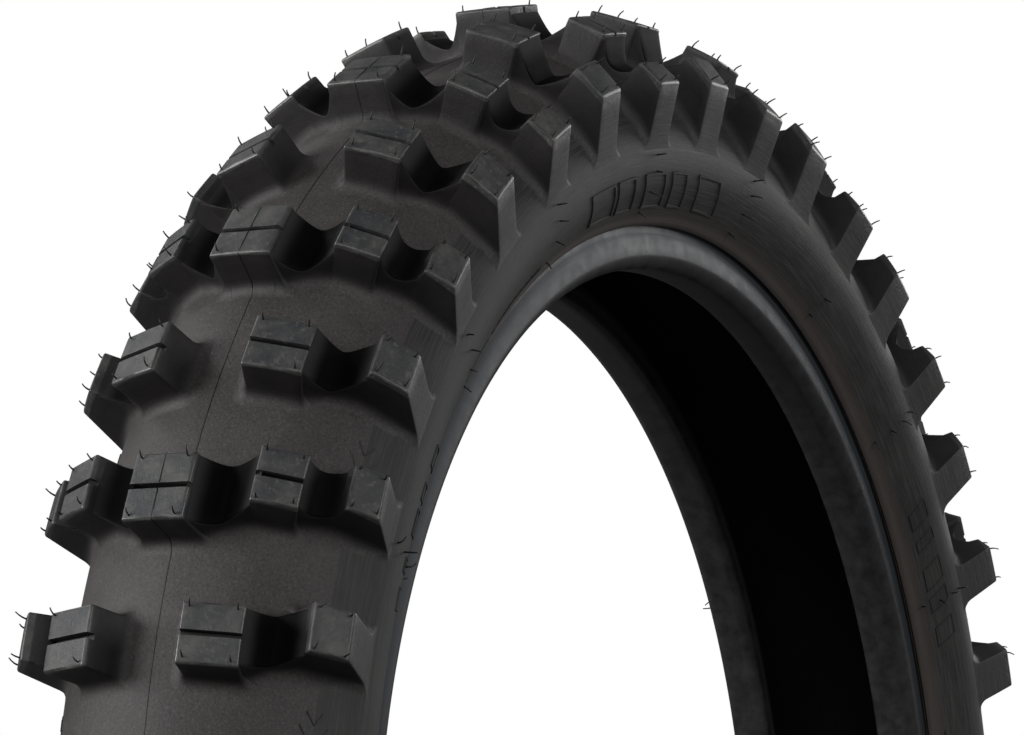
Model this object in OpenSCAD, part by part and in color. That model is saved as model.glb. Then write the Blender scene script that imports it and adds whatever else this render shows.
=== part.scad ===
// Off-road motorcycle tyre, 110/90-19, bias-ply construction.
// The origin is the centre of the wheel, the wheel turns about Y, and Z is up.
// Sections are drawn as [across, radius]: the distance from the middle plane, then from the axle.
// Angles round the tread start at the -X side and rise over the top towards +X.

/* [Tread pattern] */
// Pairs of knob rows round the tyre
row_pairs = 20; // [16:1:20]
// Angle of the first row round the tyre
first_row = 14.4; // [0:0.1:18]
// Depth of the groove across a knob
groove_depth = 3; // [1:0.5:5]
// Width of the groove across a knob, as an angle
groove_angle = 0.3; // [0.2:0.05:0.4]

/* [Outer section] */
// Radius of the tread surface between the knobs, at the middle
tread_r = 327.5; // [326:0.5:329]
// Radius of the curve across the tread
crown_r = 57; // [56:0.5:58]
// Angle at which the tread band ends and the sidewall starts
tread_end = 56; // [52:2:56]

/* [Layers] */
// Thickness of the inner liner
liner_t = 1; // [0.8:0.1:1.2]
// Thickness of one rubbered fabric ply
ply_t = 0.9; // [0.7:0.1:1]
// Thickness of the breaker under the tread
breaker_t = 1; // [0.8:0.1:1.2]
// Thickness of the chafer fabric round the bead
chafer_t = 1; // [0.8:0.1:1]

/* [Beads] */
// Radius of the cylinder that the bead seats on
seat_r = 241.5; // [241:0.1:242]
// Diameter of one bead wire
wire_d = 1.2; // [1:0.05:1.4]
// Distance between bead wires
wire_pitch = 1.6; // [1.5:0.05:1.7]
// Bead wires along one side of the bundle
wire_rows = 3; // [2:1:3]

/* [Hidden] */
$fn = 96;

step = 2;
row_pitch = 180 / row_pairs;
crown_c = [0, tread_r - crown_r];
side_c = [31.8, 282.3];
side_r = 24;
side_end = 120;
lower_r = 42;
lower_end = 142;
lower_c = polar(side_c, side_r - lower_r, side_end);

// The outer surface of the carcass, under the rubber
cord_r = 53;
cord_c = [0, tread_r - 5 - cord_r];
cord_turn = 72;
cord_side_r = 22;
cord_side_c = polar(cord_c, cord_r - cord_side_r, cord_turn);
bead_c = [33.6, seat_r + 8.3];
wrap_r = 4.2;
wrap_end = 82;
bead_angle = tangent_angle(bead_c - cord_side_c, cord_side_r + wrap_r);
wrap_start = bead_angle + 180;
wrap_steps = 30;
liner_steps = 3;
strip_steps = 5;
breaker_end = 44;
strip_end = 58;

inner_cord = -ply_t;
inner_ply = -2 * ply_t;
inner_skin = inner_ply - liner_t;
chafer_skin = inner_ply - chafer_t;
core_w = wire_rows * wire_pitch;
turn_up_2 = 6.5;
turn_up_1 = 5.2;
turn_up_chafer = 4;

black = "#26241f";
dark = "#1d1c1b";
grey = "#3b3a38";
cord_tan = "#8a7355";
steel = "#b08d57";

// Point at a distance and an angle from a centre; 0 points away from the axle
function polar(c, r, a) = c + r * [sin(a), cos(a)];
function arc(c, r, a0, a1, n) = [for (i = [0:n]) polar(c, r, a0 + (a1 - a0) * i / n)];
function backwards(p) = [for (i = [len(p) - 1:-1:0]) p[i]];
function mirrored(p) = [for (q = p) [-q[0], q[1]]];
function both_sides(p) = concat(backwards(mirrored(p)), p);
function swapped(p) = [for (q = p) [q[1], q[0]]];
// Angle of the line that touches both circles, one on each side of it
function tangent_angle(d, reach) = atan2(d[0], d[1]) - acos(reach / norm(d));
function unit(a) = [sin(a), cos(a)];
function along(a) = [-cos(a), sin(a)];
// Where two lines cross, each given by the angle of its normal and a point on it
function crossing(a, p, b, q) =
    let (u = unit(a), v = unit(b), h = u * p, k = v * q, d = u[0] * v[1] - u[1] * v[0])
    [(h * v[1] - k * u[1]) / d, (u[0] * k - v[0] * h) / d];

// Outer surface of the tread floor and the sidewall, from one angle to another
function floor_path(a0, a1) = arc(crown_c, crown_r, a0, a1, (a1 - a0) / step);
function side_path(a0, a1) = arc(side_c, side_r, a0, a1, (a1 - a0) / step);
function lower_path() = [for (i = [1:11]) polar(lower_c, lower_r, side_end + (lower_end - side_end) * i / 11)];

// A carcass layer's surface where it turns round the bead core, from one step of the turn to another
filler_tip = crossing(
    bead_angle, polar(bead_c, -wrap_r, bead_angle),
    wrap_end, polar(bead_c, wrap_r, wrap_end)
);
function wrap_angle(i) = wrap_start + (wrap_end - wrap_start) * i / wrap_steps;
function wrap(d, i0, i1) = [for (i = [i0:i1]) polar(bead_c, wrap_r - d, wrap_angle(i))];
// A point on the layer's turned-up edge, at a height above the end of the turn
function edge(d, up) = polar(bead_c, wrap_r - d, wrap_end) + up * along(wrap_end);
function cord_side(d) = arc(cord_side_c, cord_side_r + d, cord_turn, bead_angle, 34);

// Half of a carcass layer's surface at a distance from the outer cords, down to the bead
function cord_path(d, steps) = concat(
    arc(cord_c, cord_r + d, 0, cord_turn - step, (cord_turn - step) / step),
    cord_side(d),
    wrap(d, 0, steps)
);
function layer(d0, d1, steps, up) = let (
    outer = concat(cord_path(d1, steps), up > 0 ? [edge(d1, up)] : []),
    inner = concat(cord_path(d0, steps), up > 0 ? [edge(d0, up)] : [])
) concat(both_sides(outer), backwards(both_sides(inner)));

module around(a) {
    rotate([-90, 0, 0])
        rotate([0, 0, a + 180])
            children();
}

module left_side() {
    children();
}

module right_side() {
    mirror([0, 1, 0])
        children();
}

// ---- carcass ----
module liner_shape() {
    polygon(swapped(layer(inner_skin, inner_ply, liner_steps, 0)));
}

module ply_1_shape() {
    polygon(swapped(layer(inner_ply, inner_cord, wrap_steps, turn_up_1)));
}

module ply_2_shape() {
    polygon(swapped(layer(inner_cord, 0, wrap_steps, turn_up_2)));
}

module breaker_shape() {
    polygon(swapped(concat(
        both_sides(arc(cord_c, cord_r + breaker_t, 0, breaker_end, breaker_end / step)),
        backwards(both_sides(arc(cord_c, cord_r, 0, breaker_end, breaker_end / step)))
    )));
}

module filler_shape() {
    difference() {
        polygon(swapped(concat(wrap(0, 0, wrap_steps), [filler_tip])));
        core_shape();
    }
}

module core_shape() {
    translate([bead_c[1] - core_w / 2, bead_c[0] - core_w / 2])
        square(core_w);
}

module chafer_shape() {
    polygon(swapped(concat(
        wrap(inner_ply, liner_steps, wrap_steps),
        [edge(inner_ply, turn_up_chafer), edge(chafer_skin, turn_up_chafer)],
        backwards(wrap(chafer_skin, liner_steps, wrap_steps))
    )));
}

module turned() {
    around(0)
        rotate_extrude()
            children();
}

module inner_liner() {
    color(black)
        turned()
            liner_shape();
}

module carcass_ply_1() {
    color(cord_tan)
        turned()
            ply_1_shape();
}

module carcass_ply_2() {
    color(cord_tan)
        turned()
            ply_2_shape();
}

module tread_breaker() {
    color(cord_tan)
        turned()
            breaker_shape();
}

// ---- rubber ----
module tread_base() {
    color(black)
        turned()
            difference() {
                polygon(swapped(concat(
                    both_sides(floor_path(0, tread_end)),
                    backwards(both_sides(arc(cord_c, cord_r, 0, strip_end, strip_end / step)))
                )));
                breaker_shape();
            }
}

module sidewall() {
    color(grey)
        turned()
            polygon(swapped(concat(
                [polar(crown_c, crown_r, tread_end)],
                side_path(tread_end, side_end),
                lower_path(),
                [
                    edge(chafer_skin, turn_up_chafer),
                    edge(inner_ply, turn_up_chafer),
                    edge(inner_ply, turn_up_1),
                    edge(inner_cord, turn_up_1),
                    edge(inner_cord, turn_up_2),
                    edge(0, turn_up_2),
                    filler_tip,
                ],
                backwards(cord_side(0)),
                backwards(arc(cord_c, cord_r, strip_end, cord_turn - step, 6))
            )));
}

module rim_strip() {
    crease = polar(lower_c, lower_r, lower_end);
    color(dark)
        turned()
            polygon(swapped(concat(
                [crease, crease - [0.9, 1.6], [41.8, seat_r + 12.5]],
                arc([36.6, seat_r + 5.2], 5.2, 90, 180, 12),
                [[26.5, seat_r], [24.9, seat_r + 1.6], [25.3, seat_r + 7]],
                wrap(chafer_skin, strip_steps, wrap_steps),
                [edge(chafer_skin, turn_up_chafer)]
            )));
}

// ---- beads ----
module bead_wires() {
    color(steel)
        for (i = [0:wire_rows - 1])
            for (j = [0:wire_rows - 1])
                ring_wire([
                    bead_c[0] + (i - (wire_rows - 1) / 2) * wire_pitch,
                    bead_c[1] + (j - (wire_rows - 1) / 2) * wire_pitch
                ]);
}

module ring_wire(c) {
    turned()
        translate([c[1], c[0]])
            circle(d = wire_d, $fn = 24);
}

module bead_insulation() {
    color(black)
        difference() {
            turned()
                core_shape();
            bead_wires();
        }
}

module bead_filler() {
    color(black)
        turned()
            filler_shape();
}

module chafer() {
    color(dark)
        turned()
            chafer_shape();
}

// ---- knobs ----
// A knob is its section turned through an angle, with a groove across its top if it has one
module knob(section, a0, a1, grooved) {
    middle = (a0 + a1) / 2;
    difference() {
        around(a0)
            rotate_extrude(angle = a1 - a0)
                polygon(swapped(section));
        if (grooved)
            around(middle - groove_angle / 2)
                rotate_extrude(angle = groove_angle)
                    polygon(swapped(groove_section(section)));
    }
}

// The first points of a knob's section are its top, two or more of them
function groove_section(section) = concat(
    [for (i = [0:1]) section[i] - groove_depth * top_normal(section) + edge_pull(section, i)],
    [for (i = [1:-1:0]) section[i] + groove_depth * top_normal(section) + edge_pull(section, i)]
);
function top_normal(s) = let (d = (s[1] - s[0]) / norm(s[1] - s[0])) [-d[1], d[0]];
function edge_pull(s, i) = (i == 0 ? -5 : 5) * (s[1] - s[0]) / norm(s[1] - s[0]);

// A section stands on the tread floor between two angles; its top runs outwards
function on_floor(top, a0, a1) = concat(top, backwards(floor_path(a0, a1)));
function on_shoulder(top, a0, a1) =
    concat(top, backwards(concat(floor_path(a0, tread_end), side_path(tread_end, a1))));

centre_section = concat([[-11.3, 343], [11.3, 343]], backwards(both_sides(floor_path(0, 14))));
inner_section = on_floor([[16.8, 341.7], [36.1, 334.8]], 14, 40);
intermediate_section = on_floor([[31, 337], [44.9, 329.3]], 28, 48);
high_shoulder_section = on_shoulder([[53.6, 322.4], [62, 311]], 48, 96);
low_shoulder_section = on_shoulder([[55.4, 317.8], [63.3, 309.5]], 52, 96);
centre_tie_section = on_floor([polar(crown_c, crown_r + 4, 15), polar(crown_c, crown_r + 4, 27)], 14, 28);
inner_tie_section = on_floor([polar(crown_c, crown_r + 5, 41), polar(crown_c, crown_r + 5, 47)], 40, 48);
outer_tie_section = on_floor([polar(crown_c, crown_r + 8, 48), polar(crown_c, crown_r + 8, 52)], 48, 52);

module first_rows() {
    for (i = [0:row_pairs - 1])
        rotate([0, (first_row + 2 * i * row_pitch), 0])
            children();
}

module second_rows() {
    for (i = [0:row_pairs - 1])
        rotate([0, (first_row + (2 * i + 1) * row_pitch), 0])
            children();
}

module centre_knobs() {
    color(grey)
        second_rows()
            knob(centre_section, -2.05, 2.05, true);
}

module inner_knobs() {
    color(grey)
        first_rows()
            knob(inner_section, -1.2, 2.3, true);
}

module intermediate_knobs() {
    color(grey)
        second_rows()
            knob(intermediate_section, -0.6, 2.85, true);
}

module high_shoulder_knobs() {
    color(grey)
        first_rows()
            knob(high_shoulder_section, 0.3, 3.4, false);
}

module low_shoulder_knobs() {
    color(grey)
        second_rows()
            knob(low_shoulder_section, 0.35, 3.4, false);
}

module tie(section, a0, a1) {
    knob(section, a0, a1, false);
    right_side()
        knob(section, a0, a1, false);
}

module centre_ties() {
    color(black)
        second_rows()
            tie(centre_tie_section, -0.5, 2);
}

module inner_ties() {
    color(black)
        first_rows()
            tie(inner_tie_section, 0.4, 2.6);
}

module outer_ties() {
    color(black)
        second_rows()
            tie(outer_tie_section, 0.4, 2.8);
}

inner_liner();
carcass_ply_1();
carcass_ply_2();
tread_breaker();
tread_base();
left_side() sidewall();  // sidewall_left
right_side() sidewall();  // sidewall_right
left_side() bead_wires();  // bead_wires_left
right_side() bead_wires();  // bead_wires_right
left_side() bead_insulation();  // bead_insulation_left
right_side() bead_insulation();  // bead_insulation_right
left_side() bead_filler();  // bead_filler_left
right_side() bead_filler();  // bead_filler_right
left_side() chafer();  // chafer_left
right_side() chafer();  // chafer_right
left_side() rim_strip();  // rim_strip_left
right_side() rim_strip();  // rim_strip_right
centre_knobs();
left_side() inner_knobs();  // inner_knobs_left
right_side() inner_knobs();  // inner_knobs_right
left_side() intermediate_knobs();  // intermediate_knobs_left
right_side() intermediate_knobs();  // intermediate_knobs_right
left_side() high_shoulder_knobs();  // high_shoulder_knobs_left
right_side() high_shoulder_knobs();  // high_shoulder_knobs_right
left_side() low_shoulder_knobs();  // low_shoulder_knobs_left
right_side() low_shoulder_knobs();  // low_shoulder_knobs_right
centre_ties();
inner_ties();
outer_ties();
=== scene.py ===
"""Looks of an off-road motorcycle tyre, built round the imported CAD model."""

import math

import bmesh
import bpy
import numpy as np
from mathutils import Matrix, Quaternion, Vector


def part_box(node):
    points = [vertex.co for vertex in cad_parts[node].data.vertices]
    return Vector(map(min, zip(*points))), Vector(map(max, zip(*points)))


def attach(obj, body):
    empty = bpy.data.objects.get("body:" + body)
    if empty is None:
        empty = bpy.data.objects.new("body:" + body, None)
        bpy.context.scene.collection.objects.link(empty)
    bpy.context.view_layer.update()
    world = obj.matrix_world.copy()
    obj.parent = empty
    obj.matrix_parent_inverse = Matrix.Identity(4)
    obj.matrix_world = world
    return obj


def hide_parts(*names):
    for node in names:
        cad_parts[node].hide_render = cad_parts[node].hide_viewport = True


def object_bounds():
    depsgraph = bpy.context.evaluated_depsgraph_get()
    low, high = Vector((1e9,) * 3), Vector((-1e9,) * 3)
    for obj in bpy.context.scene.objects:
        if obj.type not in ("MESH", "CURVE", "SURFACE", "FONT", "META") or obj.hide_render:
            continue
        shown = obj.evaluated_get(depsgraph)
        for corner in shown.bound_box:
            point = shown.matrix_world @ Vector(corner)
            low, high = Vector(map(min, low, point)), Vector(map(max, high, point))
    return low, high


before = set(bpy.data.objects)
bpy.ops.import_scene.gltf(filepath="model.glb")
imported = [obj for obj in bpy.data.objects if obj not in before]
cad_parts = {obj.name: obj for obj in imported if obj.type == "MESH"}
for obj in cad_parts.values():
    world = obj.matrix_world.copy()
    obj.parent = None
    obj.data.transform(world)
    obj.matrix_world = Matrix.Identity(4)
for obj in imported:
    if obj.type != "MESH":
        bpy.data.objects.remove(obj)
CAD_LO, CAD_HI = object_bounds()
rng = np.random.default_rng(19)

# ---------------------------------------------------------------- driving sizes, in millimetres
MM = 0.001
TREAD_R = round(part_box("tread_base")[1][2] / MM, 1)
CROWN_R = 57.0
CROWN_C = np.array([0.0, TREAD_R - CROWN_R])
CROWN_END = 56.0
SIDE_C = np.array([31.8, 282.3])
SIDE_R = 24.0
SIDE_END = 120.0
LOWER_R = 42.0
LOWER_END = 142.0
SEAT_R = 241.5
PAIRS = 20
PITCH = 180 / PAIRS
FIRST_ROW = 14.4
FLOOR_STEPS = 480
LINER_STEPS = 240
KNOB_MEAN_R = 335.0
SIDE_MEAN_R = 290


def unit(angle):
    a = np.radians(angle)
    return np.stack([np.sin(a), np.cos(a)], -1)


LOWER_C = SIDE_C + (SIDE_R - LOWER_R) * unit(SIDE_END)
CREASE = LOWER_C + LOWER_R * unit(LOWER_END)
CROWN_LEN = CROWN_R * math.radians(CROWN_END)
GAP = SIDE_C + SIDE_R * unit(CROWN_END) - CROWN_C - CROWN_R * unit(CROWN_END)
GAP_LEN = float(np.hypot(*GAP))
SIDE_LEN = SIDE_R * math.radians(SIDE_END - CROWN_END)
LOWER_LEN = LOWER_R * math.radians(LOWER_END - SIDE_END)
OUTER_LEN = CROWN_LEN + GAP_LEN + SIDE_LEN + LOWER_LEN


def outer_angle(s):
    """Angle of the outer surface's normal at a distance along it from the middle plane."""
    knots = np.cumsum([0, CROWN_LEN, GAP_LEN, SIDE_LEN, LOWER_LEN])
    return np.interp(np.abs(s), knots, [0, CROWN_END, CROWN_END, SIDE_END, LOWER_END])


def outer(s, h=0.0):
    """(across, radius) on the tread floor or sidewall at distance s, raised by h along the normal."""
    s = np.asarray(s, float)
    h = np.broadcast_to(np.asarray(h, float), s.shape)
    sign = np.where(s < 0, -1.0, 1.0)
    d = np.abs(s)
    n = unit(outer_angle(d))
    crown = CROWN_C + n * CROWN_R
    gap = CROWN_C + unit(CROWN_END) * CROWN_R + np.clip((d - CROWN_LEN) / GAP_LEN, 0, 1)[..., None] * GAP
    side = SIDE_C + n * SIDE_R
    lower = LOWER_C + n * LOWER_R
    p = np.where((d <= CROWN_LEN)[..., None], crown, gap)
    p = np.where((d > CROWN_LEN + GAP_LEN)[..., None], side, p)
    p = np.where((d > CROWN_LEN + GAP_LEN + SIDE_LEN)[..., None], lower, p)
    p = p + n * h[..., None]
    p[..., 0] *= sign
    return p


def crown_s(angle):
    return CROWN_R * math.radians(angle)


def place(section, phi):
    """Points in the row frame, in metres, from (across, radius) in millimetres and an angle in degrees."""
    a = np.radians(phi)
    r = section[..., 1] * MM
    y = section[..., 0] * MM
    return np.stack([-r * np.cos(a), y + 0 * r, r * np.sin(a)], -1)


# ---------------------------------------------------------------- mesh helpers
def make_object(name, verts, faces, material, smooth=True):
    mesh = bpy.data.meshes.new(name)
    mesh.from_pydata([tuple(v) for v in verts], [], [tuple(f) for f in faces])
    mesh.validate()
    obj = bpy.data.objects.new(name, mesh)
    bpy.context.scene.collection.objects.link(obj)
    mesh.materials.append(material)
    mesh.polygons.foreach_set("use_smooth", [smooth] * len(mesh.polygons))
    return obj


def face_outwards(obj):
    bm = bmesh.new()
    bm.from_mesh(obj.data)
    bmesh.ops.recalc_face_normals(bm, faces=bm.faces)
    bm.to_mesh(obj.data)
    bm.free()


def sharpen(obj, angle):
    """Smooth faces, with creases wherever two faces meet at more than the angle."""
    bm = bmesh.new()
    bm.from_mesh(obj.data)
    limit = math.radians(angle)
    for e in bm.edges:
        e.smooth = len(e.link_faces) == 2 and e.calc_face_angle(math.pi) < limit
    bm.to_mesh(obj.data)
    bm.free()


def grid_faces(rows, cols, wrap_rows=False, wrap_cols=False):
    faces = []
    for i in range(rows if wrap_rows else rows - 1):
        for j in range(cols if wrap_cols else cols - 1):
            a, b = i * cols, (i + 1) % rows * cols
            k = (j + 1) % cols
            faces.append((a + j, a + k, b + k, b + j))
    return faces


def ring_repeat(verts, faces, slots, angles):
    """Copies of a shape turned about the axle."""
    out_v, out_f = [], []
    for angle in angles:
        a = math.radians(angle)
        c, s = math.cos(a), math.sin(a)
        v = verts.copy()
        v[:, 0] = verts[:, 0] * c + verts[:, 2] * s
        v[:, 2] = -verts[:, 0] * s + verts[:, 2] * c
        base = len(out_v) * len(verts)
        out_v.append(v)
        out_f += [tuple(i + base for i in f) for f in faces]
    return np.concatenate(out_v), out_f, slots * len(angles)


FIRST = [FIRST_ROW + 2 * PITCH * i for i in range(PAIRS)]
SECOND = [FIRST_ROW + 2 * PITCH * (i + 0.5) for i in range(PAIRS)]
SIDES = (("left", 1), ("right", -1))


# ---------------------------------------------------------------- materials
class Nodes:
    """A small helper to write a node tree in a few lines."""

    def __init__(self, name):
        self.mat = bpy.data.materials.new(name)
        self.mat.use_nodes = True
        self.tree = self.mat.node_tree
        self.bsdf = self.tree.nodes["Principled BSDF"]

    def add(self, kind, links=(), **values):
        n = self.tree.nodes.new(kind)
        for key, value in values.items():
            if key.startswith("in_"):
                n.inputs[key[3:].replace("_", " ")].default_value = value
            else:
                setattr(n, key, value)
        for socket, source in links:
            self.tree.links.new(source, n.inputs[socket])
        return n

    def ramp(self, source, stops):
        """Colours or greys along a value; a stop's value is a colour or one grey level."""
        n = self.add("ShaderNodeValToRGB", [("Fac", source)])
        elements = n.color_ramp.elements
        while len(elements) < len(stops):
            elements.new(0.5)
        for element, (pos, value) in zip(elements, stops):
            element.position = pos
            element.color = (*(value if isinstance(value, tuple) else (value,) * 3), 1)
        return n.outputs["Color"]

    def noise(self, vector, scale, detail=4.0, rough=0.55):
        return self.add("ShaderNodeTexNoise", [("Vector", vector)], in_Scale=scale, in_Detail=detail,
                        in_Roughness=rough).outputs["Fac"]

    def mix(self, factor, a, b):
        n = self.add("ShaderNodeMix", data_type="RGBA")
        for socket, value in ((0, factor), (6, a), (7, b)):
            if isinstance(value, (tuple, float)):
                n.inputs[socket].default_value = value if isinstance(value, float) else (*value, 1)
            else:
                self.tree.links.new(value, n.inputs[socket])
        return n.outputs[2]

    def math(self, op, a, b=0.0):
        n = self.add("ShaderNodeMath", operation=op)
        for socket, value in ((0, a), (1, b)):
            if isinstance(value, (int, float)):
                n.inputs[socket].default_value = value
            else:
                self.tree.links.new(value, n.inputs[socket])
        return n.outputs[0]

    def bump(self, height, strength, distance, normal=None):
        links = [("Height", height)] + ([("Normal", normal)] if normal else [])
        return self.add("ShaderNodeBump", links, in_Strength=strength, in_Distance=distance).outputs["Normal"]

    def position(self):
        return self.add("ShaderNodeNewGeometry").outputs["Position"]

    def split(self, vector):
        return self.add("ShaderNodeSeparateXYZ", [("Vector", vector)]).outputs

    def length(self, a, b):
        """Length of the hypotenuse of a and b."""
        return self.math("SQRT", self.math("ADD", self.math("MULTIPLY", a, a), self.math("MULTIPLY", b, b)))

    def specular(self, level):
        self.bsdf.inputs["Specular IOR Level"].default_value = level

    def ring_vector(self, across_scale, round_scale):
        """A coordinate that is long round the tyre and short across it: (radius, across, angle)."""
        x, y, z = self.split(self.position())
        radius = self.length(x, z)
        angle = self.math("ARCTAN2", z, x)
        return self.add("ShaderNodeCombineXYZ", [
            ("X", self.math("MULTIPLY", radius, across_scale)),
            ("Y", self.math("MULTIPLY", y, across_scale)),
            ("Z", self.math("MULTIPLY", angle, round_scale)),
        ]).outputs["Vector"]

    def finish(self, color=None, rough=None, normal=None):
        for socket, value in (("Base Color", color), ("Roughness", rough), ("Normal", normal)):
            if value is not None:
                self.tree.links.new(value, self.bsdf.inputs[socket])
        return self.mat


FLOOR_STOPS = [(0.3, (0.036, 0.0315, 0.031)), (0.52, (0.053, 0.0475, 0.0468)),
               (0.75, (0.079, 0.0725, 0.0708))]
SIDE_STOPS = [(0.38, (0.021, 0.0204, 0.0204)), (0.5, (0.038, 0.037, 0.0366)), (0.62, (0.076, 0.074, 0.072))]
# Knob walls coloured darker than the tops and the floor: painted shade.
WALL_SHADE_STOPS = [(0.3, (0.0125, 0.0108, 0.0108)), (0.7, (0.025, 0.0218, 0.0216))]
TOP_STOPS = [(0.34, (0.027, 0.029, 0.033)), (0.5, (0.052, 0.053, 0.055)), (0.68, (0.098, 0.095, 0.09))]
# Pale colour of the knob top edges: partly wear, partly a painted highlight.
EDGE_HIGHLIGHT_STOPS = [(0.35, (0.03, 0.03, 0.031)), (0.6, (0.085, 0.083, 0.08)), (0.75, (0.2, 0.195, 0.185))]
# Near-black colour low in the saddle valleys: painted shade.
VALLEY_SHADE_STOPS = [(0.3, (0.0014, 0.0013, 0.0014)), (0.7, (0.0026, 0.0024, 0.0025))]
TIE_STOPS = [(0.3, (0.03, 0.029, 0.029)), (0.7, (0.046, 0.044, 0.044))]
# Pale blue-grey of the bead band: painted sheen.
BAND_SHEEN_STOPS = [(0.3, (0.028, 0.0305, 0.0355)), (0.7, (0.042, 0.046, 0.053))]
SEAT_STOPS = [(0.35, (0.012, 0.0115, 0.0125)), (0.7, (0.034, 0.031, 0.031))]
STAIN, DUST, PIT = (0.033, 0.034, 0.036), (0.15, 0.132, 0.124), (0.017, 0.0155, 0.0155)
SCUFF, RIM_LINE = (0.2, 0.192, 0.182), (0.085, 0.068, 0.06)
RIM_LINE_R = (0.2655, 0.2605)
BAND_INNER_R = (0.2485, 0.2455)
SHOULDER_ACROSS = (43.0, 56.0)
OUTER_WALL_ACROSS = (49.0, 55.0)
KNOB_TOP, KNOB_WORN, KNOB_FOOT = (14.4, 15.2), (12.0, 15.0), (2.8, 0.1)
VALLEY_TOP, VALLEY_FOOT = (8.0, 14.5), (3.5, 0.3)
FINE_GRAIN, GRAIN = 2600.0, 2400.0
SHINE = 0.45


def distance_across(m, pos, low, high):
    """0 nearer the middle plane than low, 1 beyond high, both in millimetres."""
    return step_between(m, m.math("ABSOLUTE", m.split(pos)["Y"]), low * MM, high * MM)


def side_streak(m):
    return m.noise(m.ring_vector(1700.0, 14.0), 1.0, 6.0, 0.7)


def side_color(m, pos):
    """Grey rubber brushed in fine rings, with a browner line next to the rim."""
    base = m.ramp(side_streak(m), SIDE_STOPS)
    tint = m.ramp(m.noise(pos, 45.0, 6.0, 0.65), [(0.35, (0.02, 0.02, 0.021)), (0.7, (0.06, 0.058, 0.056))])
    x, y, z = m.split(pos)
    radius = m.length(x, z)
    rim = step_between(m, radius, *RIM_LINE_R)
    return m.mix(m.math("MULTIPLY", rim, 0.6), m.mix(0.35, base, tint), RIM_LINE)


def floor_color(m, pos):
    """Dusty charcoal of the tread floor, turning into the sidewall's rings at the shoulders."""
    base = m.ramp(m.noise(pos, 28.0, 5.0, 0.6), FLOOR_STOPS)
    stain = m.ramp(m.noise(pos, 55.0, 6.0, 0.7), [(0.58, 0), (0.72, 1)])
    base = m.mix(m.math("MULTIPLY", stain, 0.4), base, STAIN)
    speck = m.noise(pos, 1100.0, 3.0, 0.75)
    dust = m.ramp(speck, [(0.54, 0), (0.66, 1)])
    pits = m.ramp(speck, [(0.34, 1), (0.46, 0)])
    base = m.mix(m.math("MULTIPLY", dust, 0.4), base, DUST)
    base = m.mix(m.math("MULTIPLY", pits, 0.7), base, PIT)
    return m.mix(distance_across(m, pos, *SHOULDER_ACROSS), base, side_color(m, pos))


def floor_rough(m, pos):
    return m.ramp(m.noise(pos, 28.0, 5.0, 0.6), [(0.3, 0.52), (0.75, 0.68)])


def rise_above_floor(m, pos):
    """Height over the tread floor, in millimetres."""
    x, y, z = m.split(pos)
    radius = m.length(x, z)
    up = m.math("SUBTRACT", radius, float(CROWN_C[1]) * MM)
    return m.math("SUBTRACT", m.math("MULTIPLY", m.length(up, y), 1 / MM), CROWN_R)


def step_between(m, value, low, high):
    n = m.add("ShaderNodeMapRange", [("Value", value)], interpolation_type="SMOOTHSTEP")
    n.inputs["From Min"].default_value = low
    n.inputs["From Max"].default_value = high
    return n.outputs[0]


def rubber_floor():
    m = Nodes("rubber_floor")
    pos = m.position()
    m.specular(SHINE)
    normal = m.bump(m.noise(pos, FINE_GRAIN, 2.0, 0.6), 0.3, 0.0004)
    normal = m.bump(m.noise(pos, 900.0, 3.0, 0.7), 0.25, 0.0006, normal)
    return m.finish(floor_color(m, pos), floor_rough(m, pos), normal)


def rubber_knob():
    m = Nodes("rubber_knob")
    geometry = m.add("ShaderNodeNewGeometry")
    pos = geometry.outputs["Position"]
    rise = rise_above_floor(m, pos)
    top = step_between(m, rise, *KNOB_TOP)
    foot = step_between(m, rise, *KNOB_FOOT)
    cloud = m.noise(pos, 75.0, 7.0, 0.7)
    scuff = m.noise(pos, 420.0, 8.0, 0.75)
    # The walls take a darker colour than the tops and the floor: painted shade, which runs down the fillet
    # almost to the foot.
    wall = m.ramp(cloud, WALL_SHADE_STOPS)
    sideways = m.split(geometry.outputs["Normal"])["Y"]
    outside = m.math("MULTIPLY", step_between(m, m.math("ABSOLUTE", sideways), 0.5, 0.8),
                     distance_across(m, pos, *OUTER_WALL_ACROSS))
    wall = m.mix(outside, wall, side_color(m, pos))
    face = m.ramp(cloud, TOP_STOPS)
    color = m.mix(foot, m.mix(top, wall, face), floor_color(m, pos))
    worn = m.ramp(scuff, [(0.54, 0), (0.66, 1)])
    color = m.mix(m.math("MULTIPLY", m.math("MULTIPLY", worn, top), 0.45), color, SCUFF)
    shiny = m.ramp(scuff, [(0.3, 0.36), (0.7, 0.6)])
    rough = m.mix(step_between(m, rise, *KNOB_WORN), floor_rough(m, pos), shiny)
    m.specular(SHINE)
    normal = m.bump(m.noise(pos, FINE_GRAIN, 2.0, 0.6), 0.3, 0.0004)
    normal = m.bump(scuff, 0.25, 0.0008, normal)
    return m.finish(color, rough, normal)


def rubber_edge():
    """The rounded top edges of the knobs, rubbed smooth and paler: partly wear, partly a painted highlight.
    """
    m = Nodes("rubber_edge")
    pos = m.position()
    rub = m.noise(pos, 160.0, 6.0, 0.7)
    color = m.ramp(rub, EDGE_HIGHLIGHT_STOPS)
    rough = m.ramp(rub, [(0.3, 0.28), (0.7, 0.42)])
    m.specular(0.7)
    return m.finish(color, rough, m.bump(m.noise(pos, GRAIN, 2.0, 0.6), 0.2, 0.0003))


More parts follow.
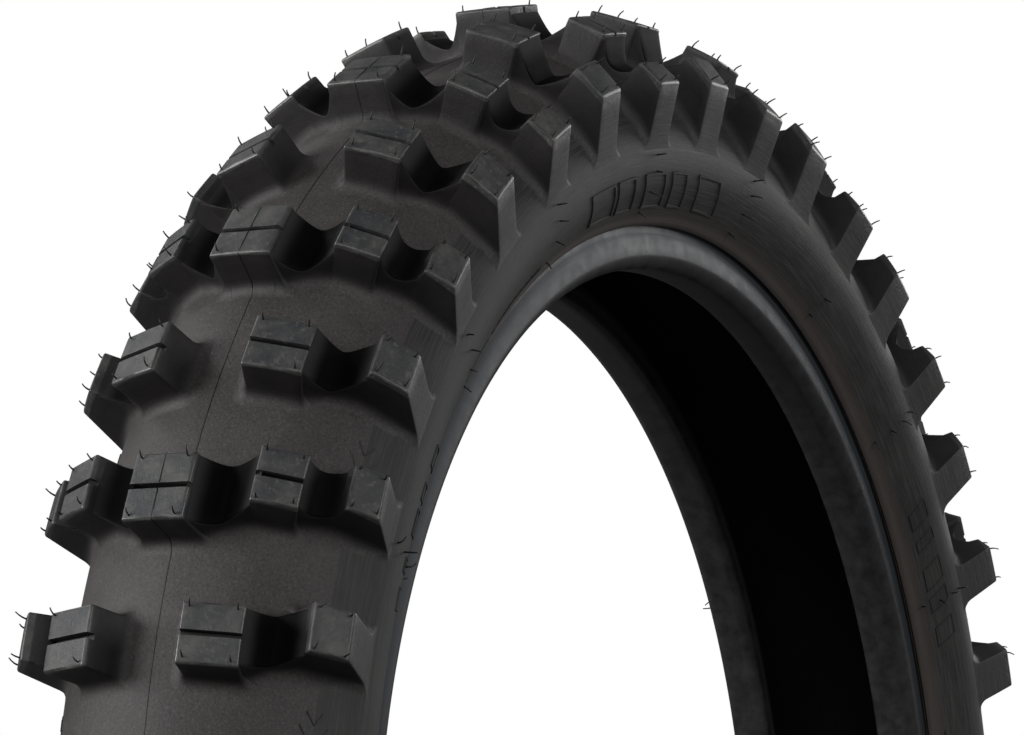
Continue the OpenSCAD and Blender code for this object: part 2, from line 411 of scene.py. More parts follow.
def rubber_saddle():
    """Black rubber in the valleys between knobs, coloured near-black low in the valley as painted shade in
    the recess.
    """
    m = Nodes("rubber_saddle")
    pos = m.position()
    rise = rise_above_floor(m, pos)
    foot = step_between(m, rise, *VALLEY_FOOT)
    high = step_between(m, rise, *VALLEY_TOP)
    cloud = m.noise(pos, 60.0, 6.0, 0.65)
    # Near-black low in the valley, lighter up the tie walls: painted shade.
    painted_shade = m.ramp(cloud, VALLEY_SHADE_STOPS)
    wall = m.ramp(cloud, TIE_STOPS)
    color = m.mix(foot, m.mix(high, painted_shade, wall), floor_color(m, pos))
    rough = m.ramp(cloud, [(0.3, 0.6), (0.7, 0.75)])
    m.specular(0.08)
    return m.finish(color, rough, m.bump(m.noise(pos, GRAIN, 2.0, 0.6), 0.2, 0.0003))


def rubber_side():
    m = Nodes("rubber_side")
    pos = m.position()
    streak = side_streak(m)
    rough = m.ramp(streak, [(0.3, 0.52), (0.7, 0.7)])
    m.specular(0.35)
    normal = m.bump(streak, 0.3, 0.0005)
    normal = m.bump(m.noise(pos, 2200.0, 2.0, 0.6), 0.2, 0.0003, normal)
    return m.finish(side_color(m, pos), rough, normal)


def rubber_bead():
    """Smooth band next to the rim, coloured pale blue-grey as a painted sheen, and a duller base inside it.
    """
    m = Nodes("rubber_bead")
    pos = m.position()
    x, y, z = m.split(pos)
    radius = m.length(x, z)
    base = step_between(m, radius, *BAND_INNER_R)
    streak = m.noise(m.ring_vector(500.0, 3.0), 1.0, 3.0, 0.5)
    cloud = m.noise(pos, 140.0, 5.0, 0.65)
    band = m.ramp(streak, BAND_SHEEN_STOPS)
    seat = m.ramp(cloud, SEAT_STOPS)
    rough = m.ramp(cloud, [(0.3, 0.42), (0.7, 0.54)])
    m.specular(0.42)
    return m.finish(m.mix(base, band, seat), rough, m.bump(streak, 0.12, 0.0004))


def rubber_inside():
    m = Nodes("rubber_inside")
    pos = m.position()
    cloud = m.noise(pos, 50.0, 5.0, 0.6)
    color = m.ramp(cloud, [(0.3, 0.006), (0.7, (0.012, 0.0115, 0.011))])
    rough = m.ramp(cloud, [(0.3, 0.6), (0.7, 0.8)])
    m.specular(0.2)
    return m.finish(color, rough, m.bump(cloud, 0.2, 0.001))


def rubber_hair():
    m = Nodes("rubber_hair")
    pos = m.position()
    cloud = m.noise(pos, 300.0, 3.0, 0.6)
    color = m.ramp(cloud, [(0.3, (0.008, 0.008, 0.009)), (0.7, (0.02, 0.019, 0.019))])
    rough = m.ramp(cloud, [(0.3, 0.4), (0.7, 0.55)])
    return m.finish(color, rough)


def woven(name, low, high):
    """Rubbered cord fabric, with cords that run at an angle round the tyre."""
    m = Nodes(name)
    vector = m.ring_vector(1000.0, 400.0)
    wave = m.add("ShaderNodeTexWave", [("Vector", vector)], bands_direction="DIAGONAL", in_Scale=1.2,
                 in_Distortion=0.4).outputs["Fac"]
    color = m.ramp(wave, [(0.2, low), (0.8, high)])
    rough = m.ramp(wave, [(0.2, 0.8), (0.8, 0.6)])
    return m.finish(color, rough, m.bump(wave, 0.4, 0.0004))


def bead_steel():
    m = Nodes("bead_steel")
    pos = m.position()
    cloud = m.noise(pos, 400.0, 4.0, 0.6)
    color = m.ramp(cloud, [(0.3, (0.42, 0.28, 0.14)), (0.7, (0.6, 0.44, 0.24))])
    rough = m.ramp(cloud, [(0.3, 0.28), (0.7, 0.4)])
    m.bsdf.inputs["Metallic"].default_value = 1.0
    return m.finish(color, rough)


MAT_FLOOR = rubber_floor()
MAT_KNOB = rubber_knob()
MAT_SADDLE = rubber_saddle()
MAT_EDGE = rubber_edge()
MAT_SIDE = rubber_side()
MAT_BEAD = rubber_bead()
MAT_INSIDE = rubber_inside()
MAT_HAIR = rubber_hair()
MAT_CORD = woven("cord_fabric", (0.14, 0.09, 0.05), (0.34, 0.24, 0.14))
MAT_CHAFER = woven("chafer_fabric", (0.012, 0.012, 0.012), (0.035, 0.034, 0.032))
MAT_STEEL = bead_steel()


# ---------------------------------------------------------------- knobs
FILLET = 4.6
EDGE = 0.7
DRAFT = 0.05
DOME = 0.25
CORNER_R = 0.55
OUTLINE_ACROSS, OUTLINE_ROUND, OUTLINE_CORNER = 6, 5, 4
GROOVE_WIDTH, GROOVE_DEPTH = 2.0, 3.2
TIE_COLUMNS, TIE_TOP_STEPS = 15, 5
TIE_EDGE, TIE_DRAFT = 0.9, 0.06


def wall_profile(height, edge, draft):
    """(outward offset, height) pairs from under the floor, up the wall and over the top edge."""
    f = min(FILLET, 0.8 * height)
    out = [(f + 5.0 + draft * height, -1.2), (f + 2.0 + draft * height, -0.22)]
    for k in range(7):
        a = math.radians(15 * k)
        h = f * (1 - math.cos(a))
        out.append((f * (1 - math.sin(a)) + draft * (height - h), h))
    for k in (1, 2):
        h = f + (height - edge - f) * k / 2
        out.append((draft * (height - h), h))
    for a in (30, 60, 90):
        a = math.radians(a)
        out.append((-edge * (1 - math.cos(a)), height - edge + edge * math.sin(a)))
    return out


def rounded_box(x0, x1, z0, z1, radius_in, radius_out):
    """Outline of a box with round corners, the same number of points for any size."""
    most = min(x1 - x0, z1 - z0) * 0.45
    ri, ro = min(radius_in, most), min(radius_out, most)
    corners = [(x1 - ro, z0 + ro, ro, -90), (x1 - ro, z1 - ro, ro, 0),
               (x0 + ri, z1 - ri, ri, 90), (x0 + ri, z0 + ri, ri, 180)]
    ends = []
    for cx, cz, r, a0 in corners:
        turn = np.radians(a0 + 90 * np.arange(OUTLINE_CORNER + 1) / OUTLINE_CORNER)
        ends.append(np.stack([cx + r * np.cos(turn), cz + r * np.sin(turn)], 1))
    pts = []
    for i, count in enumerate((OUTLINE_ROUND, OUTLINE_ACROSS) * 2):
        start, stop = ends[i][-1], ends[(i + 1) % 4][0]
        t = (np.arange(1, count) / count)[:, None]
        pts += [ends[i], start * (1 - t) + stop * t]
    return np.concatenate(pts)


def knob_shape(top_in, top_out, s_in, s_out, phi0, phi1, outer_flare=1.0):
    """One knob at angle 0: walls with a round foot on the floor, and a softly domed top."""
    top_in, top_out = np.array(top_in, float), np.array(top_out, float)
    mid_r = (top_in[1] + top_out[1]) / 2
    z0, z1 = math.radians(phi0) * mid_r, math.radians(phi1) * mid_r
    foot_in, foot_out = outer(s_in), outer(s_out)
    height = float((np.hypot(*(top_in - foot_in)) + np.hypot(*(top_out - foot_out))) / 2)
    profile = wall_profile(height, EDGE, DRAFT)
    insets = [(-1.6, height), (-3.4, height)]
    rings = []
    for off, h in profile + insets:
        t = max(h, 0) / height
        w = (1 - t) * np.hypot(*(foot_out - foot_in)) + t * np.hypot(*(top_out - top_in))
        flare = max(off, 0)
        off_out = off - flare * (1 - outer_flare)
        ring = rounded_box(-off, w + off_out, z0 - off, z1 + off, CORNER_R + 0.75 * flare,
                           CORNER_R + 0.75 * flare * outer_flare)
        u = ring[:, 0] / w
        floor = outer(s_in + u * (s_out - s_in), min(h, 0) * np.ones(len(u)))
        top = top_in + u[:, None] * (top_out - top_in)
        sec = (1 - t) * floor + t * top
        if h >= height - 1e-6:
            sec[:, 1] += DOME * (1 - (2 * np.clip(u, 0, 1) - 1) ** 2)
        rings.append(place(sec, np.degrees(ring[:, 1] / mid_r)))
    n = len(rings[0])
    verts = np.concatenate(rings)
    faces = grid_faces(len(rings), n, wrap_cols=True)
    last = len(profile) - 2
    slots = [1 if last - 2 <= i // n <= last else 0 for i in range(len(faces))]
    faces.append(tuple(range(n))[::-1])
    faces.append(tuple(range((len(rings) - 1) * n, len(rings) * n)))
    return verts, faces, slots + [0, 0]


def slot_cutter(top_in, top_out, phi):
    """A thin bar through a knob's top, from side to side."""
    top_in, top_out = np.array(top_in, float), np.array(top_out, float)
    d = (top_out - top_in) / np.hypot(*(top_out - top_in))
    n = np.array([-d[1], d[0]])
    n = n if n[1] > 0 else -n
    a, b = top_in - 8 * d, top_out + 8 * d
    half = math.degrees(GROOVE_WIDTH / 2 / top_in[1])
    pts = []
    for ang in (phi - half, phi + half):
        for p in (a - GROOVE_DEPTH * n, b - GROOVE_DEPTH * n, b + 4 * n, a + 4 * n):
            pts.append(place(p, ang))
    faces = [(0, 1, 2, 3), (7, 6, 5, 4), (0, 4, 5, 1), (1, 5, 6, 2), (2, 6, 7, 3), (3, 7, 4, 0)]
    return np.array(pts), faces


def saddle_shape(s0, s1, h0, h1, valley_s, valley_h, power, front, back):
    """A low web between two knobs with a valley along it. front and back give the angle at each end."""
    columns = []
    for j in range(TIE_COLUMNS):
        u = j / (TIE_COLUMNS - 1)
        s = s0 + u * (s1 - s0)
        uv = (valley_s - s0) / (s1 - s0)
        w = (uv - u) / uv if u < uv else (u - uv) / (1 - uv)
        h = valley_h + ((h0 if u < uv else h1) - valley_h) * abs(w) ** power
        b0 = math.radians(front[0] + u * (front[1] - front[0])) * KNOB_MEAN_R
        b1 = math.radians(back[0] + u * (back[1] - back[0])) * KNOB_MEAN_R
        profile = wall_profile(h, TIE_EDGE, TIE_DRAFT)
        pts = [(b0 - off, hh) for off, hh in profile]
        pts += [(b0 + (b1 - b0) * k / TIE_TOP_STEPS, h) for k in range(1, TIE_TOP_STEPS)]
        pts += [(b1 + off, hh) for off, hh in reversed(profile)]
        pts = np.array(pts)
        sec = outer(np.full(len(pts), s), pts[:, 1])
        columns.append(place(sec, np.degrees(pts[:, 0] / KNOB_MEAN_R)))
    n = len(columns[0])
    verts = np.concatenate(columns)
    faces = grid_faces(TIE_COLUMNS, n, wrap_cols=True)
    edge = len(profile) - 3
    slots = [2 if edge <= i % n < n - 1 - edge else 0 for i in range(len(faces))]
    faces.append(tuple(range(n))[::-1])
    faces.append(tuple(range((TIE_COLUMNS - 1) * n, TIE_COLUMNS * n)))
    return verts, faces, slots + [0, 0]


def cut(verts, faces, slots, cutters):
    """The shape with each cutter taken out of it."""
    body = make_object("cut_body", verts, faces, MAT_KNOB)
    body.data.materials.append(MAT_EDGE)
    body.data.polygons.foreach_set("material_index", slots)
    face_outwards(body)
    for cv, cf in cutters:
        tool = make_object("cut_tool", cv, cf, MAT_KNOB)
        face_outwards(tool)
        mod = body.modifiers.new("cut", "BOOLEAN")
        mod.operation = "DIFFERENCE"
        mod.solver = "EXACT"
        mod.object = tool
        dg = bpy.context.evaluated_depsgraph_get()
        new = bpy.data.meshes.new_from_object(body.evaluated_get(dg))
        body.modifiers.clear()
        old, body.data = body.data, new
        bpy.data.meshes.remove(old)
        bpy.data.objects.remove(tool)
    out_v = np.array([v.co[:] for v in body.data.vertices])
    out_f = [tuple(p.vertices) for p in body.data.polygons]
    out_s = [p.material_index for p in body.data.polygons]
    bpy.data.objects.remove(body)
    return out_v, out_f, out_s


def mirrored(verts, faces, slots):
    v = verts.copy()
    v[:, 1] *= -1
    return v, [f[::-1] for f in faces], slots


def knob_ring(name, shape, angles, nodes):
    verts, faces, slots = ring_repeat(*shape, angles)
    obj = make_object(name, verts, faces, MAT_KNOB)
    obj.data.materials.append(MAT_EDGE)
    if max(slots) > 1:
        obj.data.materials.append(MAT_SADDLE)
    obj.data.polygons.foreach_set("material_index", slots)
    face_outwards(obj)
    sharpen(obj, 38)
    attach(obj, "root")
    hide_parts(*nodes)


CENTRE = dict(top_in=(-11.3, 343.0), top_out=(11.3, 343.0), s_in=-10.6, s_out=10.6, phi0=-2.02, phi1=2.02)
INNER = dict(top_in=(16.8, 341.7), top_out=(36.1, 334.8), s_in=crown_s(12.6), s_out=crown_s(30.2),
             phi0=-1.18, phi1=2.3)
MIDDLE = dict(top_in=(31.0, 337.0), top_out=(44.9, 329.3), s_in=crown_s(24.2), s_out=crown_s(38.3),
              phi0=-0.6, phi1=2.85)
HIGH = dict(top_in=(53.6, 322.4), top_out=(62.0, 311.0), s_in=crown_s(45.0), s_out=74.0,
            phi0=0.3, phi1=3.3, outer_flare=0.12)
LOW = dict(top_in=(55.4, 317.8), top_out=(63.3, 309.5), s_in=crown_s(48.6), s_out=74.0,
           phi0=0.38, phi1=3.4, outer_flare=0.12)


def grooved(spec):
    middle = (spec["phi0"] + spec["phi1"]) / 2
    return cut(*knob_shape(**spec), [slot_cutter(spec["top_in"], spec["top_out"], middle)])


def build_knobs():
    knob_ring("centre_knob_ring", grooved(CENTRE), SECOND, ["centre_knobs"])
    pairs = [
        ("inner_knob_ring", grooved(INNER), FIRST, "inner_knobs"),
        ("intermediate_knob_ring", grooved(MIDDLE), SECOND, "intermediate_knobs"),
        ("high_shoulder_ring", knob_shape(**HIGH), FIRST, "high_shoulder_knobs"),
        ("low_shoulder_ring", knob_shape(**LOW), SECOND, "low_shoulder_knobs"),
    ]
    for name, shape, angles, node in pairs:
        knob_ring(name + "_left", shape, angles, [node + "_left"])
        knob_ring(name + "_right", mirrored(*shape), angles, [node + "_right"])


def two_sided(shape):
    v, f, k = shape
    mv, mf, mk = mirrored(v, f, k)
    return np.concatenate([v, mv]), f + [tuple(i + len(v) for i in g) for g in mf], k + mk


def build_saddles():
    centre = saddle_shape(crown_s(8.2), crown_s(26.5), 15.8, 15.6, crown_s(16.5), 4.8, 1.7,
                          (-2.0, -0.5), (2.0, 2.8))
    inner = saddle_shape(crown_s(29.3), crown_s(47.5), 16.0, 16.3, crown_s(38.5), 4.2, 1.5,
                         (-1.0, 0.32), (2.25, 3.2))
    outer_web = saddle_shape(crown_s(37.2), crown_s(51.5), 16.2, 15.4, crown_s(44.2), 7.6, 2.2,
                             (-0.3, 0.4), (2.8, 3.3))
    knob_ring("centre_saddle_ring", two_sided(centre), SECOND, ["centre_ties"])
    knob_ring("inner_saddle_ring", two_sided(inner), FIRST, ["inner_ties"])
    knob_ring("outer_saddle_ring", two_sided(outer_web), SECOND, ["outer_ties"])


# ---------------------------------------------------------------- turned surfaces
def turned_shape(section, steps=FLOOR_STEPS):
    section = np.array(section, float)
    angles = np.arange(steps) * 360 / steps
    verts = np.concatenate([place(section, a) for a in angles])
    return verts, grid_faces(steps, len(section), wrap_rows=True, wrap_cols=True)


def turned(name, section, nodes, material, steps=FLOOR_STEPS):
    verts, faces = turned_shape(section, steps)
    obj = make_object(name, verts, faces, material)
    face_outwards(obj)
    sharpen(obj, 50)
    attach(obj, "root")
    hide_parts(*nodes)


def build_floor():
    s = np.linspace(-CROWN_LEN, CROWN_LEN, 75)
    top = outer(s)
    under = outer(np.array([s[-1], 28.0, 0.0, -28.0, s[0]]), -4.0)
    turned("tread_floor", np.concatenate([top, under]), ["tread_base"], MAT_FLOOR)


def build_sidewalls():
    s = np.linspace(CROWN_LEN, OUTER_LEN, 46)
    lift = np.zeros(len(s))
    lift[-4:] = [0.2, 0.7, 1.0, 0.7]
    section = np.concatenate([outer(s, lift), outer(s[::-6], -2.0)])
    for side, sign in SIDES:
        turned("sidewall_skin_" + side, section * [sign, 1], ["sidewall_" + side],
               MAT_SIDE)


def build_beads():
    heel = np.array([36.2, SEAT_R + 6.0])
    pts = [CREASE - [1.4, -1.5], CREASE - [1.5, 0.6], CREASE - [1.7, 2.2],
           (40.9, 254.6), (41.6, 252.5), (41.9, 250.0)]
    pts += [tuple(heel + 6.0 * np.array([math.sin(math.radians(a)), math.cos(math.radians(a))]))
            for a in range(95, 181, 10)]
    pts += [(33.0, SEAT_R + 0.05), (29.0, SEAT_R + 0.02), (26.5, SEAT_R + 0.1), (25.3, SEAT_R + 0.9),
            (24.9, SEAT_R + 2.6), (25.2, SEAT_R + 6.5), (26.0, SEAT_R + 11.0), (29.0, SEAT_R + 13.5)]
    section = np.array([tuple(p) for p in pts])
    for side, sign in SIDES:
        turned("bead_band_" + side, section * [sign, 1], ["rim_strip_" + side], MAT_BEAD)


def liner_points():
    cord_c, cord_r, side_r = np.array([0, TREAD_R - 58.0]), 50.2, 19.2
    side_c = cord_c + 31.0 * unit(72.0)
    half = [tuple(cord_c + cord_r * unit(a)) for a in range(0, 72, 4)]
    half += [tuple(side_c + side_r * unit(a)) for a in range(72, 143, 6)]
    half += [(30.0, 256.2), (28.0, 254.2), (26.8, 252.0)]
    return half


def build_liner():
    half = liner_points()
    inner = [(-y, r) for y, r in half[:0:-1]] + half
    outer_side = [(y, r + 1.0) if abs(y) < 40 and r > 300 else (y + math.copysign(0.9, y), r + 0.3)
                  for y, r in reversed(inner)]
    turned("liner_skin", np.array(inner + outer_side), ["inner_liner"], MAT_INSIDE,
           LINER_STEPS)


def sweep(paths, radius, sides=5, taper=0.35):
    """Thin tapering tubes along paths of points, in metres."""
    verts, faces = [], []
    for path in paths:
        path = np.array(path)
        along = np.gradient(path, axis=0)
        along /= np.linalg.norm(along, axis=1)[:, None]
        side = np.cross(along, [0.13, 0.97, 0.2])
        side /= np.linalg.norm(side, axis=1)[:, None]
        up = np.cross(along, side)
        base = sum(len(v) for v in verts)
        turn = np.arange(sides) * 2 * math.pi / sides
        for i, (p, a, b) in enumerate(zip(path, side, up)):
            r = radius * (1.0 - taper * i / (len(path) - 1))
            verts.append(p + r * (np.cos(turn)[:, None] * a + np.sin(turn)[:, None] * b))
        faces += [tuple(i + base for i in f) for f in grid_faces(len(path), sides, wrap_cols=True)]
        faces.append(tuple(base + i for i in range(sides)))
        faces.append(tuple(base + (len(path) - 1) * sides + i for i in reversed(range(sides))))
    return np.concatenate(verts), faces


HAIR_R = 0.36
HAIRS_ACROSS = (0.12, 0.88)
TOP_HAIRS_MISSING, SIDE_HAIRS_MISSING = 0.12, 0.1
# distance from the middle plane, angle in the row, shortest and longest hair
SIDE_HAIRS = [(77.0, 1.7, 3.2, 4.6), (83.0, 1.55, 3.0, 4.2), (91.0, 1.4, 3.2, 4.6), (100.0, 1.3, 3.0, 4.4)]


def hair_path(point, normal, phi, length, lean_across, lean_round):
    """A vent hair that starts just under the rubber and bends over."""
    t = np.linspace(-0.12, 1, 5)
    sec = np.array(point) + np.array(normal) * (t * length)[:, None]
    sec[:, 0] += lean_across * length * np.maximum(t, 0) ** 2
    turn = phi + np.degrees(lean_round * length * np.maximum(t, 0) ** 2 / point[1])
    return place(sec, turn)


def hairs_on_top(spec, angles, sign):
    top_in, top_out = np.array(spec["top_in"]), np.array(spec["top_out"])
    d = (top_out - top_in) / np.hypot(*(top_out - top_in))
    normal = np.array([-d[1], d[0]])
    paths = []
    for angle in angles:
        for u in HAIRS_ACROSS:
            for end in (spec["phi0"] + 0.3, spec["phi1"] - 0.3):
                if rng.random() < TOP_HAIRS_MISSING:
                    continue
                point = top_in + u * (top_out - top_in)
                length = rng.uniform(1.9, 3.6)
                turn = angle + end + rng.uniform(-0.08, 0.08)
                paths.append(hair_path(point * [sign, 1], normal * [sign, 1], turn, length,
                                       rng.uniform(-0.2, 0.2), rng.uniform(0.1, 0.7)))
    return paths


def hairs_on_side(angles, places, sign):
    paths = []
    for angle in angles:
        for s, phi, low, high in places:
            if rng.random() < SIDE_HAIRS_MISSING:
                continue
            point = outer(np.array([s]))[0]
            normal = unit(outer_angle(s))
            turn = angle + phi + rng.uniform(-0.1, 0.1)
            paths.append(hair_path(point * [sign, 1], normal * [sign, 1], turn, rng.uniform(low, high),
                                   rng.uniform(-0.2, 0.3), rng.uniform(-0.3, 0.6)))
    return paths


def build_hairs():
    everything = {"tread": hairs_on_top(CENTRE, SECOND, 1)}
    for side, sign in SIDES:
        paths = hairs_on_top(INNER, FIRST, sign) + hairs_on_top(MIDDLE, SECOND, sign)
        paths += hairs_on_top(HIGH, FIRST, sign) + hairs_on_top(LOW, SECOND, sign)
        everything[side] = paths + hairs_on_side(SECOND, SIDE_HAIRS, sign)
    for key, paths in everything.items():
        verts, faces = sweep(paths, HAIR_R * MM)
        obj = make_object("vent_hairs_" + key, verts, faces, MAT_HAIR)
        face_outwards(obj)
        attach(obj, "root")


def build_parting_line():
    """The mould's seam: a fine line round the middle of the floor and over the centre knobs, a real ridge
    given the hairs' near-black colour as painted shade along it.
    """
    band = [(-0.3, TREAD_R - 0.3), (-0.16, TREAD_R + 0.13), (0.16, TREAD_R + 0.13), (0.3, TREAD_R - 0.3)]
    parts = [turned_shape(band)]
    top = CENTRE["top_in"][1]
    rise = [(off, h) for off, h in wall_profile(top - TREAD_R, EDGE, DRAFT) if h >= 0]
    groove = 0.19
    paths = []
    for angle in SECOND:
        for side in (-1, 1):
            turn = [angle + side * (CENTRE["phi1"] + math.degrees(off / top)) for off, h in rise]
            sec = [(0.0, TREAD_R + h) for off, h in rise]
            reach = np.linspace(CENTRE["phi1"] - 0.15, groove, 5)
            turn += [angle + side * a for a in reach]
            sec += [(0.0, top + 0.22)] * len(reach)
            paths.append(place(np.array(sec), np.array(turn)))
    parts.append(sweep(paths, 0.17 * MM, 6, 0.0))
    verts, faces = merge(parts)
    # The seam's near-black colour is painted shade along the ridge.
    obj = make_object("parting_line", verts, faces, MAT_HAIR)
    face_outwards(obj)
    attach(obj, "root")


def raised_line(points, width, height, closed=False):
    """A low raised line on the sidewall through (distance across, angle) points."""
    pts = [np.array(q, float) for q in points]
    if closed:
        pts.append(pts[0])
    path = []
    for a, b in zip(pts, pts[1:]):
        reach = math.hypot(b[0] - a[0], math.radians(b[1] - a[1]) * SIDE_MEAN_R)
        steps = max(2, int(reach / 1.5))
        path += [a + (b - a) * k / steps for k in range(steps)]
    path.append(pts[-1])
    path = np.array(path)
    flat = np.stack([path[:, 0], np.radians(path[:, 1]) * SIDE_MEAN_R], 1)
    along = np.gradient(flat, axis=0)
    along /= np.hypot(along[:, 0], along[:, 1])[:, None]
    side = np.stack([-along[:, 1], along[:, 0]], 1)
    rows = []
    for off, up in ((-0.75, -0.25), (-0.4, height), (0.4, height), (0.75, -0.25)):
        q = flat + side * off * width
        rows.append(place(outer(q[:, 0], up), np.degrees(q[:, 1] / SIDE_MEAN_R)))
    verts = np.stack(rows, 1).reshape(-1, 3)
    faces = grid_faces(len(path), 4, wrap_cols=True)
    faces += [(3, 2, 1, 0), tuple(len(verts) - 4 + i for i in range(4))]
    return verts, faces


def merge(parts):
    verts, faces, base = [], [], 0
    for v, f in parts:
        verts.append(v)
        faces += [tuple(i + base for i in g) for g in f]
        base += len(v)
    return np.concatenate(verts), faces


# The marks stand in three equal groups round each sidewall, the first from this angle.
MARKS_START = 21.0
# Near and far distance across, first angle, angle between boxes, slant, line width, line height, box widths
MARK_ROWS = [
    (86.5, 96.0, 0.0, 2.9, 0.7, 0.5, 0.45, (1.7, 1.1, 2.1, 1.4, 1.8)),
    (97.3, 100.6, 28.0, 1.15, 0.25, 0.35, 0.3, (0.7,) * 9),
    (84.0, 97.5, 46.0, 5.0, 1.2, 0.9, 0.6, (4.2, 3.0, 3.6, 2.6, 4.0)),
]
# Reach to each side, then the angles of the foot and the tip before the row
CHEVRONS = ((5.0, 3.2, 4.6), (3.0, 2.3, 3.1))
CHEVRON_ACROSS = 55.5


def slanted_box(s0, s1, phi, width, slant):
    return [(s0, phi), (s0, phi + width), (s1, phi + width + slant), (s1, phi + slant)]


def arrow(s, phi, length, half):
    """Outline of a plain arrow that points the way the tyre rolls."""
    head = length * 0.35
    return [(s - half * 0.4, phi + length), (s - half * 0.4, phi + head), (s - half, phi + head), (s, phi),
            (s + half, phi + head), (s + half * 0.4, phi + head), (s + half * 0.4, phi + length)]


def build_marks():
    """Plain raised marks where such a tyre carries its moulded markings."""
    for side, sign in SIDES:
        parts = []
        for third in range(3):
            start = MARKS_START + 120 * third
            parts.append(raised_line(arrow(99.0, start + 22.0, 5.0, 2.0), 0.4, 0.35, True))
            for low, high, first, pitch, slant, width, height, boxes in MARK_ROWS:
                for k, box_width in enumerate(boxes):
                    box = slanted_box(low, high, start + first + pitch * k, box_width, slant)
                    parts.append(raised_line(box, width, height, True))
        for angle in FIRST:
            for reach, foot, tip in CHEVRONS:
                chevron = [(CHEVRON_ACROSS - reach, angle - foot), (CHEVRON_ACROSS, angle - tip),
                           (CHEVRON_ACROSS + reach, angle - foot)]
                parts.append(raised_line(chevron, 0.5, 0.4))
        verts, faces = merge(parts)
        obj = make_object("raised_marks_" + side, verts * [1, sign, 1], faces, MAT_SIDE)
        face_outwards(obj)
        sharpen(obj, 40)
        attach(obj, "root")


def dress_hidden():
    """The plies, beads and fillers keep their CAD shapes and get their own materials."""
    look = {
        "carcass_ply": MAT_CORD, "tread_breaker": MAT_CORD, "bead_wires": MAT_STEEL,
        "bead_insulation": MAT_INSIDE, "bead_filler": MAT_INSIDE, "chafer": MAT_CHAFER,
    }
    for name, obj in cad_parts.items():
        for start, material in look.items():
            if name.startswith(start):
                obj.data.materials.clear()
                obj.data.materials.append(material)


build_floor()
build_knobs()
build_saddles()
build_sidewalls()
build_beads()
build_liner()
build_hairs()
build_parting_line()
build_marks()
dress_hidden()


# ---------------------------------------------------------------- studio
STAGE_HALF = 12.0
STAGE_GAP = 0.0015
WASH_ENERGY, WASH_ANGLE = 2.6, 70
AMBIENT = 0.12
PANEL_SIZE, PANEL_DISTANCE = (1.6, 1.0), 3.0
# name, azimuth from +X towards +Y, elevation, watts
PANELS = [
    ("panel_left", 135, 16, 60.0),
    ("panel_right", 262, 18, 24.0),
    ("panel_back", 345, 20, 18.0),
    ("panel_high", 90, 42, 12.0),
    ("panel_front", 195, 22, 13.0),
]
CAMERA_AT = (-1.5544, -0.7488, -0.0005)
CAMERA_TURN, CAMERA_TILT, CAMERA_ROLL = -63.347, -6.889, -0.125
CAMERA_LENS, CAMERA_SENSOR = 159.33, 36.0


def build_stage():
    mat = Nodes("stage_white")
    pos = mat.position()
    color = mat.ramp(mat.noise(pos, 2.0), [(0.3, 0.82), (0.7, 0.86)])
    mat.bsdf.inputs["Roughness"].default_value = 0.9
    mat.finish(color)
    z = CAD_LO[2] - STAGE_GAP
    verts = [(x * STAGE_HALF, y * STAGE_HALF, z) for x, y in ((-1, -1), (1, -1), (1, 1), (-1, 1))]
    floor = make_object("studio_floor", verts, [(0, 1, 2, 3)], mat.mat, smooth=False)
    floor.visible_diffuse = False
    floor.visible_glossy = False
    wash = bpy.data.lights.new("floor_wash", "SUN")
    wash.energy = WASH_ENERGY
    wash.angle = math.radians(WASH_ANGLE)
    sun = bpy.data.objects.new("floor_wash", wash)
    bpy.context.scene.collection.objects.link(sun)
    lit = bpy.data.collections.new("floor_only")
    lit.objects.link(floor)
    sun.light_linking.receiver_collection = lit


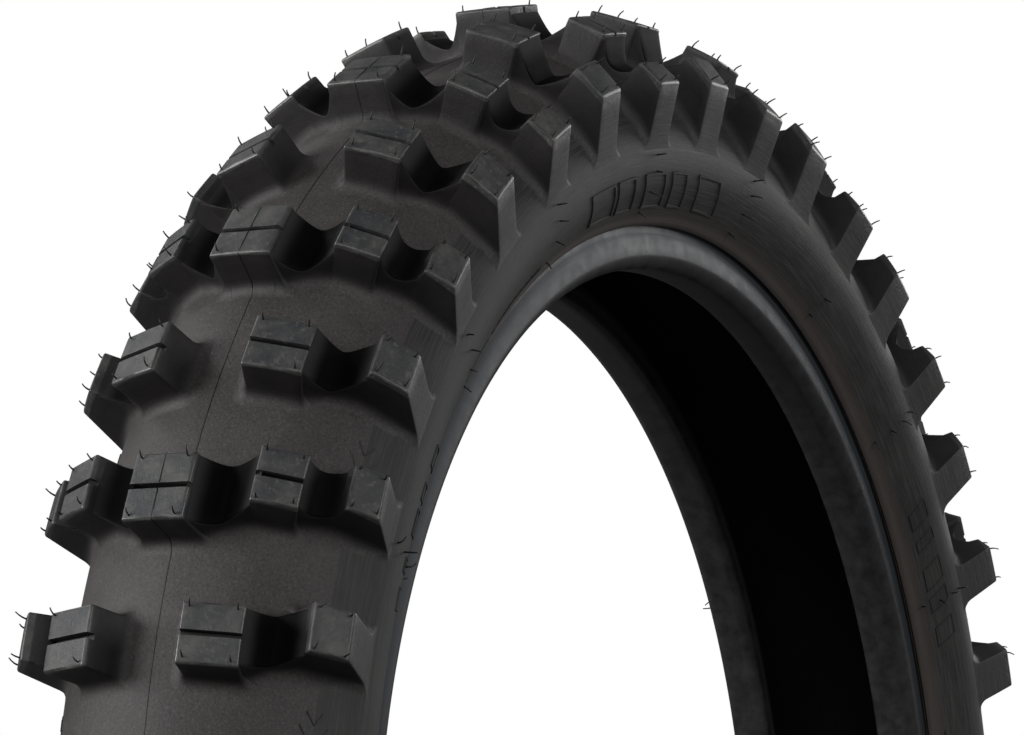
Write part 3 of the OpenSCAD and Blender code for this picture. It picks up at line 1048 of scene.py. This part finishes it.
def area_light(name, azimuth, elevation, power):
    """A soft panel that faces the tyre; azimuth is measured from +X towards +Y."""
    a, e = math.radians(azimuth), math.radians(elevation)
    where = Vector((math.cos(a) * math.cos(e), math.sin(a) * math.cos(e), math.sin(e))) * PANEL_DISTANCE
    data = bpy.data.lights.new(name, "AREA")
    data.shape = "RECTANGLE"
    data.size, data.size_y = PANEL_SIZE
    data.energy = power
    obj = bpy.data.objects.new(name, data)
    bpy.context.scene.collection.objects.link(obj)
    obj.location = where
    obj.rotation_mode = "QUATERNION"
    obj.rotation_quaternion = where.to_track_quat("Z", "Y")


def build_studio():
    world = bpy.data.worlds.new("studio")
    bpy.context.scene.world = world
    world.use_nodes = True
    tree = world.node_tree
    ambient = tree.nodes["Background"]
    ambient.inputs["Color"].default_value = (1.0, 1.0, 1.0, 1)
    ambient.inputs["Strength"].default_value = AMBIENT
    backdrop = tree.nodes.new("ShaderNodeBackground")
    backdrop.inputs["Color"].default_value = (1.0, 1.0, 1.0, 1)
    path = tree.nodes.new("ShaderNodeLightPath")
    mix = tree.nodes.new("ShaderNodeMixShader")
    tree.links.new(path.outputs["Is Camera Ray"], mix.inputs[0])
    tree.links.new(ambient.outputs[0], mix.inputs[1])
    tree.links.new(backdrop.outputs[0], mix.inputs[2])
    tree.links.new(mix.outputs[0], tree.nodes["World Output"].inputs["Surface"])
    for panel in PANELS:
        area_light(*panel)
    bpy.context.scene.view_settings.view_transform = "Standard"
    bpy.context.scene.view_settings.look = "None"


def build_camera():
    data = bpy.data.cameras.new("camera")
    data.sensor_width = CAMERA_SENSOR
    data.lens = CAMERA_LENS
    cam = bpy.data.objects.new("camera", data)
    bpy.context.scene.collection.objects.link(cam)
    cam.location = CAMERA_AT
    az, el, roll = map(math.radians, (CAMERA_TURN, CAMERA_TILT, CAMERA_ROLL))
    back = Vector((math.sin(az) * math.cos(el), -math.cos(az) * math.cos(el), math.sin(el)))
    cam.rotation_mode = "QUATERNION"
    cam.rotation_quaternion = (-back).to_track_quat("-Z", "Y") @ Quaternion((0, 0, 1), roll)
    data.clip_start, data.clip_end = 0.05, 50.0
    bpy.context.scene.camera = cam


build_stage()
build_studio()
build_camera()
